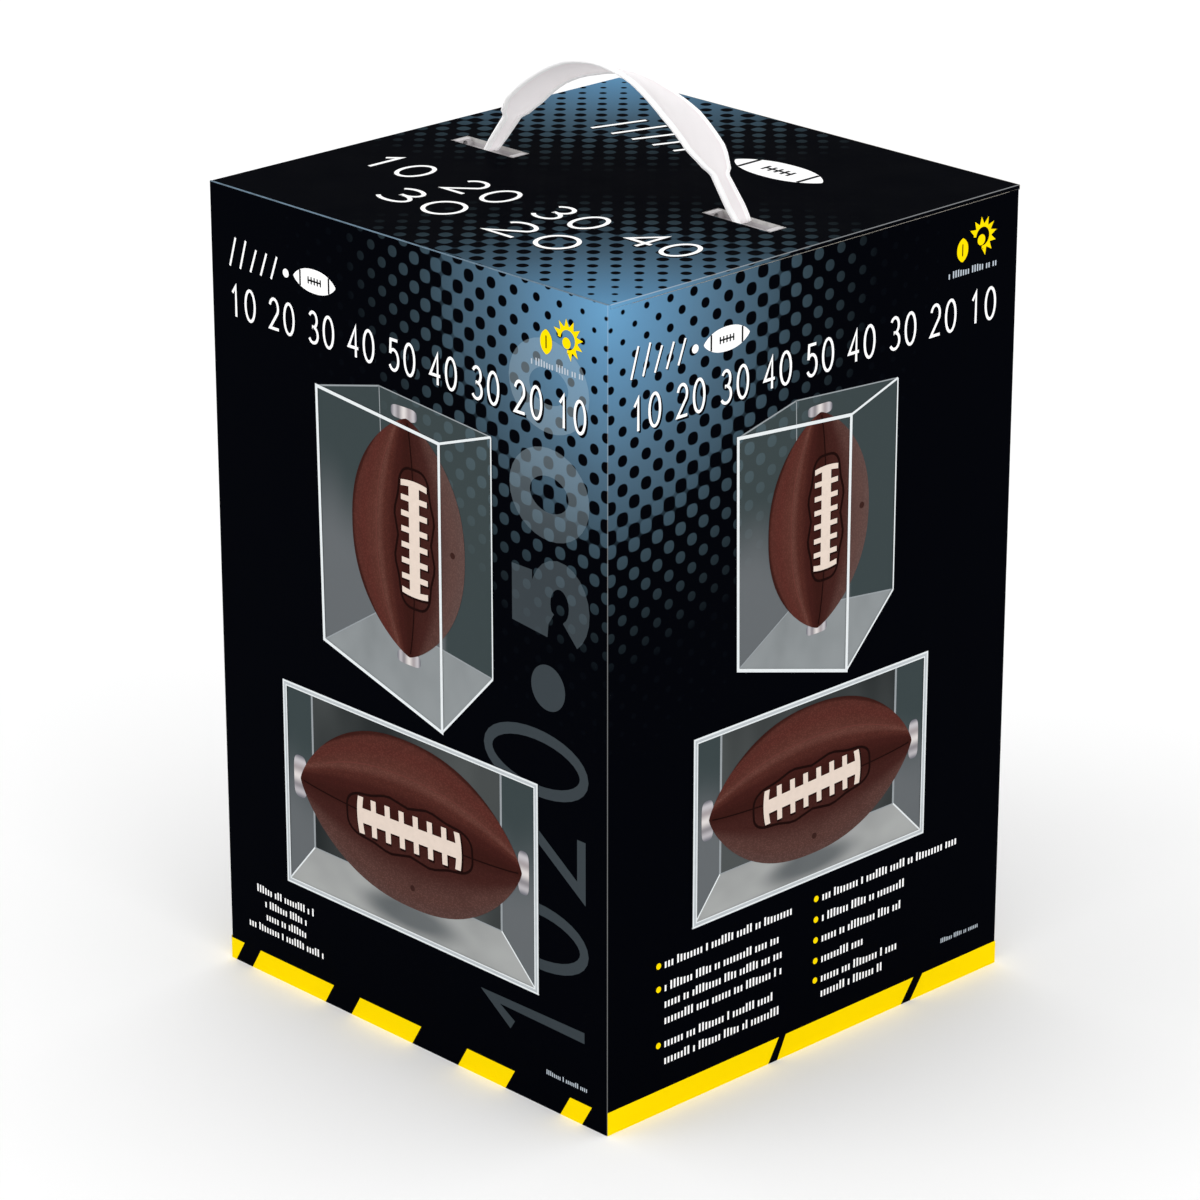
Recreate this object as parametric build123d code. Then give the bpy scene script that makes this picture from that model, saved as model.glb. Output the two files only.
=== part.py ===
from build123d import *

import math
import os

# A printed retail carton with a moulded carry handle, and the clear two-piece
# football display case packed inside it. Millimetres, +Z up, origin on the
# ground under the middle of the carton. -Y is the carton's front, where the
# lid tucks in, and +Y its back, where the lid is hinged.

# Carton
CARTON_WIDTH = 204.0  # outside, along X
CARTON_DEPTH = 204.0  # outside, along Y
CARTON_HEIGHT = 304.0  # outside, along Z
BOARD = 1.5  # fine-flute board
FOLD_RADIUS = 1.0  # outside radius of a folded vertical corner
FLAP_GAP = 0.15  # between folded flaps that move apart
FLAP_SIDE_GAP = 0.2  # between the lid's front edge and the front wall

# Lid, tuck and dust flaps
LID_INSET = 0.4  # the lid's cut side edges stand in from the side walls
TUCK_LENGTH = 30.0
TUCK_START = 2.0  # from the fold line to where the flat flap begins
TUCK_TILT = 10.0  # degrees the tuck flap leans into the carton
TUCK_END_INSET = 4.0  # the tuck flap is narrower than the carton's inside
TUCK_CORNER = 8.0
DUST_LENGTH = 88.0
DUST_FRONT = 90.0  # the dust flaps' front edge, from the middle
DUST_BACK = 96.0  # where their taper starts at the hinge line
DUST_TAPER_SLOPE = 1.3  # flap length gained per mm away from the lid's hinge
DUST_CORNER = 8.0
DUST_END_GAP = 0.3  # from a dust flap's root to the wall's raised shoulders
DUST_WINDOW = (50.0, 28.0)  # clears the handle's anchor plate, along X and Y

# Bottom flaps and glued side seam
BOTTOM_GAP = 0.6  # between the two flaps that meet under the carton
MINOR_FLAP_LENGTH = 82.0
GLUE_FLAP_WIDTH = 25.0
GLUE_FLAP_TOP_GAP = 6.0

# Carry handle
SLOT_SPACING = 129.0  # between the middles of the two slots
SLOT_LENGTH = 33.0
SLOT_WIDTH = 8.2
ANCHOR_SIZE = (44.0, 22.0, 2.2)
ANCHOR_CORNER = 3.0
LUG_LENGTH = 2.5
LUG_WIDTH = 6.4
LUG_END_GAP = 0.5  # from a lug to the end of the slot
BARREL_RADIUS = 1.2
BARREL_CLEARANCE = 0.05
BARREL_DEPTH = 1.6  # pivot axis below the lid's top face
STRAP_THICKNESS = 1.6
NECK_WIDTH = 2.2
NECK_LENGTH = 4.7  # the neck clears the slot as the strap swings
NECK_FLARE_END = 10.2  # where the leg has reached its full width
LEG_WIDTH = 9.0
GRIP_WIDTH = 19.5
SHOULDER_INSET = 13.5  # shoulder to slot middle, along X
SHOULDER_HEIGHT = 17.4  # above the pivot axis
APEX_HEIGHT = 43.2  # above the pivot axis
LEG_SHARE = 0.86  # the leg keeps its width up to this share of its length
GRIP_SHARES = (0.0, 0.14, 0.4, 0.7, 1.0)  # places between a shoulder and the apex
SHOULDER_WIDTH_SHARE = 0.72  # of the grip's width, where the leg meets it
# Degrees the strap is twisted at each station from foot to apex, far edge down.
LEFT_LEANS = (0.0, 0.0, 3.0, 9.0, 12.0, 14.0, 16.0, 24.0, 22.0)
RIGHT_LEANS = (0.0, 0.0, 5.0, 13.0, 14.0, 8.0, 7.0, 19.0, 22.0)

# Display case: inside size and sheet
CASE_INSIDE = (177.8, 177.8, 285.75)
SHEET = 2.5
SLIDE_GAP = 0.4  # between the tray and the cover that slides over it
CUP_OUTER_RADIUS = 21.0
CUP_WALL = 3.0
CUP_HEIGHT = 13.0
CUP_LEAD_IN = 1.5  # chamfer round the cup's mouth

# Corner packing
PAD_LEG = 38.0
PAD_HEIGHT = 258.0
PAD_CASE_GAP = 0.3
PAD_WALL_GAP = (1.7, 0.2)  # to the side walls and to the front or back wall

half_width = CARTON_WIDTH / 2
half_depth = CARTON_DEPTH / 2
inner_x = half_width - BOARD
inner_y = half_depth - BOARD
lid_under = CARTON_HEIGHT - BOARD
dust_top = lid_under - FLAP_GAP
dust_under = dust_top - BOARD
side_wall_top = dust_under - FLAP_GAP
floor_top = 2 * BOARD
lid_front = -(inner_y - FLAP_SIDE_GAP)
slot_x = SLOT_SPACING / 2
pivot_z = CARTON_HEIGHT - BARREL_DEPTH

tray_half = (CASE_INSIDE[0] / 2 + SHEET, CASE_INSIDE[1] / 2 + SHEET)
cover_half_x = tray_half[0] + SLIDE_GAP + SHEET
cover_bottom_z = floor_top
tray_bottom_z = cover_bottom_z + SHEET + SLIDE_GAP
cavity_bottom_z = tray_bottom_z + SHEET
cavity_top_z = cavity_bottom_z + CASE_INSIDE[2]
tray_top_z = cavity_top_z + SHEET
cover_top_z = tray_top_z + SLIDE_GAP + SHEET


def span(x, y, z):
    """A block between two values on each axis."""
    size = [abs(pair[1] - pair[0]) for pair in (x, y, z)]
    middle = [(pair[0] + pair[1]) / 2 for pair in (x, y, z)]
    return Pos(*middle) * Box(*size)


def both(value):
    """The pair from minus a value to plus it."""
    return (-value, value)


def flat_plate(points, bottom, thickness):
    """A plate of the given outline in the XY plane."""
    outline = make_face(Polyline(*points, close=True))
    return Pos(0, 0, bottom) * extrude(outline, thickness)


def folded_wall(side):
    """The front or back wall, whose outer corners are folds."""
    top = CARTON_HEIGHT if side < 0 else lid_under - FLAP_GAP
    wall = span(both(half_width), sorted((side * inner_y, side * half_depth)), (0, top))
    corners = [e for e in wall.edges().filter_by(Axis.Z) if abs(e.center().Y) > inner_y + BOARD / 2]
    return fillet(corners, FOLD_RADIUS)


def side_wall(side):
    """The left or right wall, with a raised shoulder each end of the dust flap's hinge."""
    reach = sorted((side * inner_x, side * half_width))
    wall = span(reach, both(inner_y), (0, side_wall_top))
    for ends in ((-inner_y, -DUST_FRONT - DUST_END_GAP), (DUST_BACK + DUST_END_GAP, inner_y)):
        wall += span(reach, ends, (0, dust_top))
    return wall


def glue_flap():
    """The seam flap that joins the left wall to the back wall."""
    reach = (-inner_x, -inner_x + BOARD)
    return span(reach, (inner_y - GLUE_FLAP_WIDTH, inner_y), (floor_top, side_wall_top - GLUE_FLAP_TOP_GAP))


def bottom_major(side):
    """A front or back bottom flap: the pair covers the whole base."""
    return span(both(inner_x), sorted((side * BOTTOM_GAP / 2, side * inner_y)), (0, BOARD))


def bottom_minor(side):
    """A left or right bottom flap, glued on top of the major pair."""
    reach = sorted((side * inner_x, side * (inner_x - MINOR_FLAP_LENGTH)))
    return span(reach, both(inner_y), (BOARD, floor_top))


def lid_panel():
    """The lid, with a slot for each end of the handle."""
    lid = span(both(half_width - LID_INSET), (lid_front, half_depth - LID_INSET), (lid_under, CARTON_HEIGHT))
    for side in (-1, 1):
        slot = Pos(side * slot_x, 0, lid_under + BOARD / 2) * Box(SLOT_LENGTH, SLOT_WIDTH, 2 * BOARD)
        lid -= slot
    return lid


def tuck_flap():
    """The flap on the lid's front edge, which leans in behind the front wall."""
    half = inner_x - TUCK_END_INSET
    flap = span(both(half), (0, BOARD), (-TUCK_START - TUCK_LENGTH, -TUCK_START))
    corners = flap.edges().filter_by(Axis.Y).group_by(Axis.Z)[0]
    flap = chamfer(corners, TUCK_CORNER)
    return Pos(0, lid_front, CARTON_HEIGHT) * Rot(TUCK_TILT, 0, 0) * flap


def dust_flap(side):
    """A side flap under the lid, tapered beside the lid's hinge."""
    root = half_width
    tip = half_width - DUST_LENGTH
    taper_end = DUST_BACK - DUST_LENGTH / DUST_TAPER_SLOPE
    points = [
        (root, -DUST_FRONT),
        (tip + DUST_CORNER, -DUST_FRONT),
        (tip, -DUST_FRONT + DUST_CORNER),
        (tip, taper_end),
        (root, DUST_BACK),
    ]
    points = [(side * x, y) for x, y in points]
    window = Pos(side * slot_x, 0, dust_under + BOARD / 2) * Box(*DUST_WINDOW, 2 * BOARD)
    return flat_plate(points, dust_under, BOARD) - window


def handle_anchor(side):
    """A plate under a slot, with two bored lugs that hold the strap's barrel."""
    length, width, thickness = ANCHOR_SIZE
    plate = Pos(0, 0, lid_under - thickness / 2) * Box(length, width, thickness)
    plate = fillet(plate.edges().filter_by(Axis.Z), ANCHOR_CORNER)
    for end in (-1, 1):
        middle = end * (SLOT_LENGTH / 2 - LUG_END_GAP - LUG_LENGTH / 2)
        plate += Pos(middle, 0, lid_under + BOARD / 2) * Box(LUG_LENGTH, LUG_WIDTH, BOARD)
    bore = Cylinder(BARREL_RADIUS + BARREL_CLEARANCE, length)
    plate -= Pos(0, 0, pivot_z) * Rot(0, 90, 0) * bore
    # The barrel and the foot of the strap lie in a pocket between the lugs.
    pocket_length = SLOT_LENGTH - 2 * (LUG_END_GAP + LUG_LENGTH)
    pocket_depth = BARREL_RADIUS + 2 * BARREL_CLEARANCE
    pocket = Box(pocket_length, SLOT_WIDTH, 2 * pocket_depth)
    plate -= Pos(0, 0, pivot_z) * pocket
    return Pos(side * slot_x, 0, 0) * plate


def strap_path():
    """The strap's middle line, from one pivot over the arch to the other."""
    foot = Vector(-slot_x, 0, pivot_z)
    shoulder = Vector(-slot_x + SHOULDER_INSET, 0, pivot_z + SHOULDER_HEIGHT)
    apex = Vector(0, 0, pivot_z + APEX_HEIGHT)
    leg = (shoulder - foot).normalized()
    quarter = Spline(shoulder, apex, tangents=(leg, Vector(1, 0, 0)))
    return foot, shoulder, quarter


def strap_section(centre, along, width, lean):
    """A rectangle across the strap, twisted by lean degrees about X."""
    turn = math.radians(-lean)
    across = Vector(0, math.cos(turn), math.sin(turn))
    along = (along - across * along.dot(across)).normalized()
    plane = Plane(origin=centre, x_dir=across, z_dir=along)
    return plane * Rectangle(width, STRAP_THICKNESS)


def strap_stations():
    """The sections from the left pivot to the apex: point, direction and width."""
    foot, shoulder, quarter = strap_path()
    leg = (shoulder - foot).normalized()
    reach = (shoulder - foot).length
    stations = [
        (foot, leg, NECK_WIDTH),
        (foot + leg * NECK_LENGTH, leg, NECK_WIDTH),
        (foot + leg * NECK_FLARE_END, leg, LEG_WIDTH),
        (foot + leg * reach * LEG_SHARE, leg, LEG_WIDTH),
    ]
    for share in GRIP_SHARES:
        width = GRIP_WIDTH * (SHOULDER_WIDTH_SHARE if share == 0 else 1)
        stations.append((quarter @ share, quarter % share, width))
    return stations


def handle_strap():
    """The carry strap: two narrow legs, a broad grip and a barrel at each foot."""
    half = strap_stations()
    left = [(*station, lean) for station, lean in zip(half, LEFT_LEANS)]
    right = [
        (Vector(-point.X, 0, point.Z), Vector(along.X, 0, -along.Z), width, lean)
        for (point, along, width), lean in zip(half, RIGHT_LEANS)
    ]
    sections = [strap_section(*station) for station in left + right[-2::-1]]
    strap = loft(sections, ruled=True)
    barrel_length = SLOT_LENGTH - 2 * LUG_END_GAP
    for side in (-1, 1):
        barrel = Rot(0, 90, 0) * Cylinder(BARREL_RADIUS, barrel_length)
        strap += Pos(side * slot_x, 0, pivot_z) * barrel
    return strap


def cover_panels():
    """The outer case half: five glued sheets, open at the back."""
    front = -tray_half[1]
    sides = (front + SHEET, tray_half[1])
    outer = cover_half_x
    inner = outer - SHEET
    return {
        "cover_front": span(both(outer), (front, front + SHEET), (cover_bottom_z, cover_top_z)),
        "cover_left": span((-outer, -inner), sides, (cover_bottom_z, cover_top_z)),
        "cover_right": span((inner, outer), sides, (cover_bottom_z, cover_top_z)),
        "cover_top": span(both(inner), sides, (cover_top_z - SHEET, cover_top_z)),
        "cover_bottom": span(both(inner), sides, (cover_bottom_z, cover_bottom_z + SHEET)),
    }


def tray_panels():
    """The inner case half: five glued sheets, open at the front."""
    back = tray_half[1]
    sides = (-tray_half[1] + SHEET + SLIDE_GAP, back - SHEET)
    outer = tray_half[0]
    inner = outer - SHEET
    return {
        "tray_back": span(both(outer), (back - SHEET, back), (tray_bottom_z, tray_top_z)),
        "tray_left": span((-outer, -inner), sides, (tray_bottom_z, tray_top_z)),
        "tray_right": span((inner, outer), sides, (tray_bottom_z, tray_top_z)),
        "tray_top": span(both(inner), sides, (tray_top_z - SHEET, tray_top_z)),
        "tray_bottom": span(both(inner), sides, (tray_bottom_z, tray_bottom_z + SHEET)),
    }


def cradle_cup(upper):
    """A ring that holds one end of the ball, glued to the tray."""
    ring = Cylinder(CUP_OUTER_RADIUS, CUP_HEIGHT) - Cylinder(CUP_OUTER_RADIUS - CUP_WALL, CUP_HEIGHT)
    mouth = ring.faces().sort_by(Axis.Z)[-1].inner_wires()[0].edges()
    ring = chamfer(mouth, CUP_LEAD_IN)
    if upper:
        return Pos(0, 0, cavity_top_z - CUP_HEIGHT / 2) * Rot(180, 0, 0) * ring
    return Pos(0, 0, cavity_bottom_z + CUP_HEIGHT / 2) * ring


def corner_pad(side_x, side_y):
    """An L-shaped foam post between a corner of the case and the carton."""
    outer_x = inner_x - PAD_WALL_GAP[0]
    outer_y = inner_y - PAD_WALL_GAP[1]
    case_x = cover_half_x + PAD_CASE_GAP
    case_y = tray_half[1] + PAD_CASE_GAP
    points = [
        (outer_x, outer_y),
        (outer_x - PAD_LEG, outer_y),
        (outer_x - PAD_LEG, case_y),
        (case_x, case_y),
        (case_x, outer_y - PAD_LEG),
        (outer_x, outer_y - PAD_LEG),
    ]
    points = [(side_x * x, side_y * y) for x, y in points]
    return flat_plate(points, floor_top, PAD_HEIGHT)


def all_parts():
    """Every node by name."""
    parts = {
        "front_panel": folded_wall(-1),
        "back_panel": folded_wall(1),
        "left_panel": side_wall(-1),
        "right_panel": side_wall(1),
        "glue_flap": glue_flap(),
        "bottom_flap_front": bottom_major(-1),
        "bottom_flap_back": bottom_major(1),
        "bottom_flap_left": bottom_minor(-1),
        "bottom_flap_right": bottom_minor(1),
        "lid_panel": lid_panel(),
        "tuck_flap": tuck_flap(),
        "dust_flap_left": dust_flap(-1),
        "dust_flap_right": dust_flap(1),
        "handle_anchor_left": handle_anchor(-1),
        "handle_anchor_right": handle_anchor(1),
        "handle_strap": handle_strap(),
        "cradle_cup_bottom": cradle_cup(False),
        "cradle_cup_top": cradle_cup(True),
    }
    parts.update(cover_panels())
    parts.update(tray_panels())
    for name, side_y in (("front", -1), ("back", 1)):
        parts[f"corner_pad_{name}_left"] = corner_pad(-1, side_y)
        parts[f"corner_pad_{name}_right"] = corner_pad(1, side_y)
    return parts


os.makedirs("parts", exist_ok=True)
for node, shape in all_parts().items():
    export_step(shape, f"parts/{node}.step")
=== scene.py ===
"""Looks of a printed football display case carton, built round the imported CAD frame.

Lengths are in millimetres until they become vertices. A printed shape is placed by
u and v, measured from the lower left corner of its face as seen from outside.
"""

import math

import bpy
from mathutils import Matrix, Vector


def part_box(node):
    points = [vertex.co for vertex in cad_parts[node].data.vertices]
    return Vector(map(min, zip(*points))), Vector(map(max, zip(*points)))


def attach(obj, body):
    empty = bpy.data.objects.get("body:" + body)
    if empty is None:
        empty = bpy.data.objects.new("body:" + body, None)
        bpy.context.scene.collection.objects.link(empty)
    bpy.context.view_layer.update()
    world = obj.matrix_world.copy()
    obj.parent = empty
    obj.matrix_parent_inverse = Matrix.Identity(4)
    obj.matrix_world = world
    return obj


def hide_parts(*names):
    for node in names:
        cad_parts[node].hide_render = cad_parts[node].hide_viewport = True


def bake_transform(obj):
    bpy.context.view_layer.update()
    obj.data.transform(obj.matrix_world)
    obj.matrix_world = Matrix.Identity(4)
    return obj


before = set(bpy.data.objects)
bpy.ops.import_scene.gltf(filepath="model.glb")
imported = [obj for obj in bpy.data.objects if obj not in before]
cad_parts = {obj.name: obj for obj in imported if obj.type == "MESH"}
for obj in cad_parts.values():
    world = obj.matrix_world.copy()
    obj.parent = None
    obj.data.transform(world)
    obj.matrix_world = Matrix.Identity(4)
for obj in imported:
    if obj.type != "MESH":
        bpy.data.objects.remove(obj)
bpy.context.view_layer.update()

MM = 0.001
HALF_TURN = Matrix.Rotation(math.pi, 4, "Z")


def cad_box(node):
    """A CAD node's lowest and highest corner in millimetres."""
    low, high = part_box(node)
    return Vector(low) / MM, Vector(high) / MM


CARTON = cad_box("front_panel")[1].x  # half the carton's width and depth
HEIGHT = cad_box("front_panel")[1].z
WALL_IN = -cad_box("front_panel")[1].y  # from the middle to a wall's inner face
WALL_OUT = CARTON - 0.3  # the board's printed surface; the ink lies on it
INK_STEP = 0.048  # between layers of ink
FOLD_RADIUS = 1.0
FOLD_FACETS = 5
LID_CHAMFER = 0.25
CREASE_ROWS = 6
CREASE_LAP = 0.6  # how far a crease's liner laps over the board at each end
TUCK_START = 2.0  # from the lid's fold line to the tuck flap
TUCK_LEAN = math.tan(math.radians(10))
LINER = 0.3  # thickness of the printed liner, which runs on over a crease
FLAP_FILL = 0.14  # closes the fine gap between a dust flap and the board next to it
SLOT_X = sum(corner.x for corner in cad_box("handle_anchor_right")) / 2  # a slot's middle
SLOT_HALF = (16.5, 4.1)
SHOULDER_DROP = 1.65  # a side wall's top is this much lower under its dust flap
NOTCH_GAP = 0.3  # from that lower part's ends to the flap


# ---- materials


def srgb(red, green, blue):
    """A display colour, 0 to 255, as a linear colour."""
    channels = []
    for value in (red, green, blue):
        share = value / 255
        channels.append(share / 12.92 if share <= 0.04045 else ((share + 0.055) / 1.055) ** 2.4)
    return (*channels, 1.0)


def stops(*rows):
    """Stops of a colour ramp, from rows of a position and a display colour."""
    return [(position, srgb(*colour)) for position, *colour in rows]


def shade(colour, factor):
    return (*[min(1.0, channel * factor) for channel in colour[:3]], 1.0)


BLACK = (1, 2, 6)
GREY_BOARD = srgb(196, 192, 184)
PRINT_GLOSS = 0.004  # specular level of the ink
LID_GLOSS = 0.0008
LID_PAINTED_SHADE = 0.75  # painted shade: the lid's print is darkened, since the lid faces up and takes more light than the walls

# The printed sky-blue glow spreads from two opposite top corners in a dot screen.
GLOW_REACH = 140.0
GLOW_STOPS = stops(
    (0.0, 101, 154, 193), (0.14, 91, 136, 170), (0.31, 81, 115, 140), (0.43, 70, 96, 115),
    (0.66, 49, 65, 74), (0.83, 27, 36, 41), (0.94, 3, 5, 10),
)
GLOW_FADE = 81.0  # where the dots and the gaps between them are equal
DOT_EDGE = 0.09
DOT_ROUNDING = 0.24  # keeps the dots round nearly until they touch
DOT_SOFTENING = 0.2
DOT_SCALE = 1.12

# The axes of a piece that run along u and v of the face it is drawn for.
FACE_AXES = {"long": (0, 2), "side": (1, 2), "far_side": (1, 2), "lid": (0, 1)}
# Corner of the glow, pitch of the dot screen and the place of one dot, all as (u, v).
GLOWS = {
    "long": (((204.0, 304.0), (11.05, 10.35), (3.97, 9.58)),),
    "side": (((0.0, 304.0), (11.0, 10.35), (7.17, 0.16)),),
    "lid": (((204.0, 0.0), (11.1, 11.05), (7.59, 10.76)), ((0.0, 204.0), (10.95, 11.0), (1.67, 7.28))),
}
GLOWS["far_side"] = GLOWS["side"]


class Signal:
    """A node's output. Arithmetic on it adds the nodes that work it out."""

    def __init__(self, shader, socket):
        self.shader, self.socket = shader, socket

    def math(self, operation, *values, clamp=False):
        inputs = dict(enumerate((self, *values)))
        return self.shader.node("ShaderNodeMath", inputs, operation=operation, use_clamp=clamp)

    def __add__(self, other):
        return self.math("ADD", other)

    def __sub__(self, other):
        return self.math("SUBTRACT", other)

    def __rsub__(self, other):
        return self.shader.node("ShaderNodeMath", {0: other, 1: self}, operation="SUBTRACT")

    def __mul__(self, other):
        return self.math("MULTIPLY", other)

    def __truediv__(self, other):
        return self.math("DIVIDE", other)

    def __abs__(self):
        return self.math("ABSOLUTE")

    def fit(self, scale, offset, clamp=False):
        return self.math("MULTIPLY_ADD", scale, offset, clamp=clamp)

    def step(self, low, high):
        """0 below low, 1 above high, smooth between them."""
        inputs = {"Value": self, "From Min": low, "From Max": high}
        return self.shader.node("ShaderNodeMapRange", inputs, "Result", interpolation_type="SMOOTHSTEP")

    def ramp(self, stops, smooth=True):
        signal = self.shader.node("ShaderNodeValToRGB", {"Fac": self}, "Color")
        ramp = signal.socket.node.color_ramp
        if smooth:
            ramp.interpolation = "EASE"
        while len(ramp.elements) < len(stops):
            ramp.elements.new(0.5)
        for element, (position, colour) in zip(ramp.elements, stops):
            element.position = position
            element.color = colour
        return signal

    def bump(self, strength, distance):
        inputs = {"Height": self, "Strength": strength, "Distance": distance}
        return self.shader.node("ShaderNodeBump", inputs, "Normal")


class Shader:
    """One procedural material, built node by node."""

    def __init__(self, name):
        self.material = bpy.data.materials.new(name)
        self.material.use_nodes = True
        self.tree = self.material.node_tree
        self.tree.nodes.clear()
        self.output = self.tree.nodes.new("ShaderNodeOutputMaterial")

    def node(self, kind, inputs=None, output=0, **settings):
        """A new node's output; an input is a constant or the output of another node."""
        node = self.tree.nodes.new(kind)
        for key, value in settings.items():
            setattr(node, key, value)
        for key, value in (inputs or {}).items():
            if isinstance(value, Signal):
                self.tree.links.new(value.socket, node.inputs[key])
            else:
                node.inputs[key].default_value = value
        return Signal(self, node.outputs[output])

    def mix(self, factor, first, second):
        return self.node("ShaderNodeMix", {0: factor, 6: first, 7: second}, 2, data_type="RGBA")

    def coordinates(self):
        return self.node("ShaderNodeTexCoord", output="Object")

    def axis(self, index):
        """The shaded point's x, y or z in millimetres, in the piece's own frame."""
        return self.node("ShaderNodeSeparateXYZ", {"Vector": self.coordinates()}, index) * (1 / MM)

    def picture(self):
        """How far the point is across and along its own picture, each about -1 to 1, then both as one."""
        both = self.node("ShaderNodeAttribute", output="Vector", attribute_name="picture")
        across, along = (self.node("ShaderNodeSeparateXYZ", {"Vector": both}, index) for index in (0, 1))
        return across, along, both

    def noise(self, scale, detail=2.0, roughness=0.5, vector=None):
        vector = vector or self.coordinates()
        inputs = {"Vector": vector, "Scale": scale, "Detail": detail, "Roughness": roughness}
        return self.node("ShaderNodeTexNoise", inputs, "Fac")

    def stretched(self, x, y, z):
        """Object coordinates scaled by a factor on each axis."""
        return self.node("ShaderNodeMapping", {"Vector": self.coordinates(), "Scale": (x, y, z)}, "Vector")

    def cells(self, scale, vector):
        return self.node("ShaderNodeTexVoronoi", {"Vector": vector, "Scale": scale}, "Distance")

    def finish(self, closure):
        self.tree.links.new(closure.socket, self.output.inputs["Surface"])
        return self.material

    def surface(self, colour, roughness, normal=None, gloss=PRINT_GLOSS, **sockets):
        """The finished material, with one Principled shader."""
        inputs = {"Base Color": colour, "Roughness": roughness, "Specular IOR Level": gloss}
        inputs.update({key.replace("_", " "): value for key, value in sockets.items()})
        if normal:
            inputs["Normal"] = normal
        return self.finish(self.node("ShaderNodeBsdfPrincipled", inputs))


def dot_field(across, up):
    """The dot screen's height from its two waves: 1 amid a dark dot, -1 amid a light one."""
    product = across * up
    sign = product / (abs(product) + DOT_SOFTENING)
    rounding = (across * across + up * up - 1.0) * DOT_ROUNDING
    return rounding.fit(sign, product) / DOT_SCALE


def printed(shader, face):
    """The colour of the background print at the shaded point of a face."""
    across, rise = (shader.axis(index) for index in FACE_AXES[face])
    if face == "far_side":  # the left side's print, in the carton's own frame
        across = across * -1.0
    spot = (across + CARTON, rise + CARTON if face == "lid" else rise)
    # painted shade: on the lid the print's colours are darkened to offset the extra light from above
    depth = LID_PAINTED_SHADE if face == "lid" else 1.0
    tones = [(place, shade(tone, depth)) for place, tone in GLOW_STOPS]
    colour = srgb(*BLACK)
    for corner, pitch, dot in GLOWS[face]:
        u, v = (value - origin for value, origin in zip(spot, corner))
        distance = (u * u + v * v).math("SQRT")
        waves = []
        for value, period, centre in zip(spot, pitch, dot):
            waves.append(((value - centre) * (2 * math.pi / period)).math("COSINE"))
        excess = 1.0 - distance / GLOW_FADE - dot_field(*waves)
        glow = (distance / GLOW_REACH).ramp(tones, smooth=False)
        colour = shader.mix(excess.step(-DOT_EDGE, DOT_EDGE), colour, glow)
    return colour


def print_material(face):
    """Satin ink on fine board: the background print of one face."""
    shader = Shader(f"print_{face}")
    normal = shader.noise(900.0, 3.0).bump(0.05, 0.0001)
    gloss = LID_GLOSS if face == "lid" else PRINT_GLOSS
    return shader.surface(printed(shader, face), shader.noise(60.0).fit(0.12, 0.38), normal, gloss)


def ink_material(name, colour, spread):
    """One spot colour of ink, with a little mottle where the board takes it up."""
    shader = Shader(name)
    full = srgb(*colour)
    mottle = shader.noise(420.0, 4.0, 0.6)
    ink = shader.mix(mottle, shade(full, 1 - spread), full)
    return shader.surface(ink, shader.noise(90.0).fit(0.1, 0.35), mottle.bump(0.04, 0.0001))


def tinted_print(name, face, tones, share, rise=None, lit=False):
    """The background print seen through a printed veil that runs between two colours.

    With rise (low, high, share), the veil's share grows to that between two heights.
    A lit veil is a pictured pane: lighter low on its front, darker at its top and side.
    """
    shader = Shader(name)
    waves = shader.noise(14.0, 3.0, 0.55, shader.stretched(1.0, 1.0, 0.35))
    if lit:
        across, along, _ = shader.picture()
        low_front = (1.0 - across.step(0.95, 1.15)) * (1.0 - along.step(-0.7, 0.95))
        waves = waves.fit(0.5, low_front * 0.5)
    veil = waves.ramp(stops((0.32, *tones[0]), (0.68, *tones[1])))
    if rise:
        low, high, top_share = rise
        share = shader.axis(2).step(low, high).fit(top_share - share, share)
    return shader.surface(shader.mix(share, printed(shader, face), veil), 0.4)


BALL_STOPS = stops(
    (0.0, 100, 74, 69), (0.1, 98, 68, 62), (0.3, 70, 37, 33), (0.5, 58, 26, 22),
    (0.62, 68, 31, 27), (0.7, 88, 46, 39), (0.76, 112, 69, 60), (0.83, 102, 57, 49),
    (0.9, 100, 52, 45), (0.97, 96, 51, 44), (1.0, 62, 30, 25),
)


def ball_material(name, haze):
    """The pictured leather ball: pebbled brown, lit from one side."""
    shader = Shader(name)
    across, along, both = shader.picture()
    # The bands of light bulge with the ball, so they narrow towards its tips.
    bulge = across / (1.0 - along * along * 0.75).math("MAXIMUM", 0.2)
    leather = bulge.fit(0.5, 0.5, clamp=True).ramp(BALL_STOPS)
    leather = shader.mix(shader.cells(60.0, both).step(0.15, 0.6) * 0.35, leather, srgb(38, 17, 14))
    leather = shader.mix(shader.noise(3.5, 3.0, 0.6, both) * 0.35, leather, srgb(48, 20, 16))
    return shader.surface(shader.mix(haze, leather, srgb(142, 128, 124)), 0.4)


def floor_material(name, tones, shadow=0.0):
    """The pictured case's bright floor, with soft reflections and the ball's shadow."""
    shader = Shader(name)
    across, along, both = shader.picture()
    sweep = shader.noise(1.6, 2.0, 0.5, both).fit(0.8, 0.1)
    colour = sweep.math("ADD", along * -0.25, clamp=True).ramp(stops((0.1, *tones[0]), (0.9, *tones[1])))
    if shadow:
        wide, deep = across / 0.52, (along + 0.8) / 0.2
        reach = (wide * wide + deep * deep).math("SQRT")
        colour = shader.mix((1.0 - reach.step(0.35, 1.0)) * shadow, colour, srgb(70, 76, 80))
    return shader.surface(colour, 0.4)


CUP_STOPS = stops(
    (0.0, 112, 112, 120), (0.14, 176, 172, 176), (0.28, 136, 132, 136), (0.5, 214, 208, 206),
    (0.7, 160, 152, 154), (0.86, 186, 182, 186), (1.0, 108, 108, 116),
)


def cup_material():
    """A pictured cradle cup: clear plastic, bright in the middle."""
    shader = Shader("pictured_cup")
    across = shader.picture()[0]
    return shader.surface(across.fit(0.5, 0.5, clamp=True).ramp(CUP_STOPS), 0.35)


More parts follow.
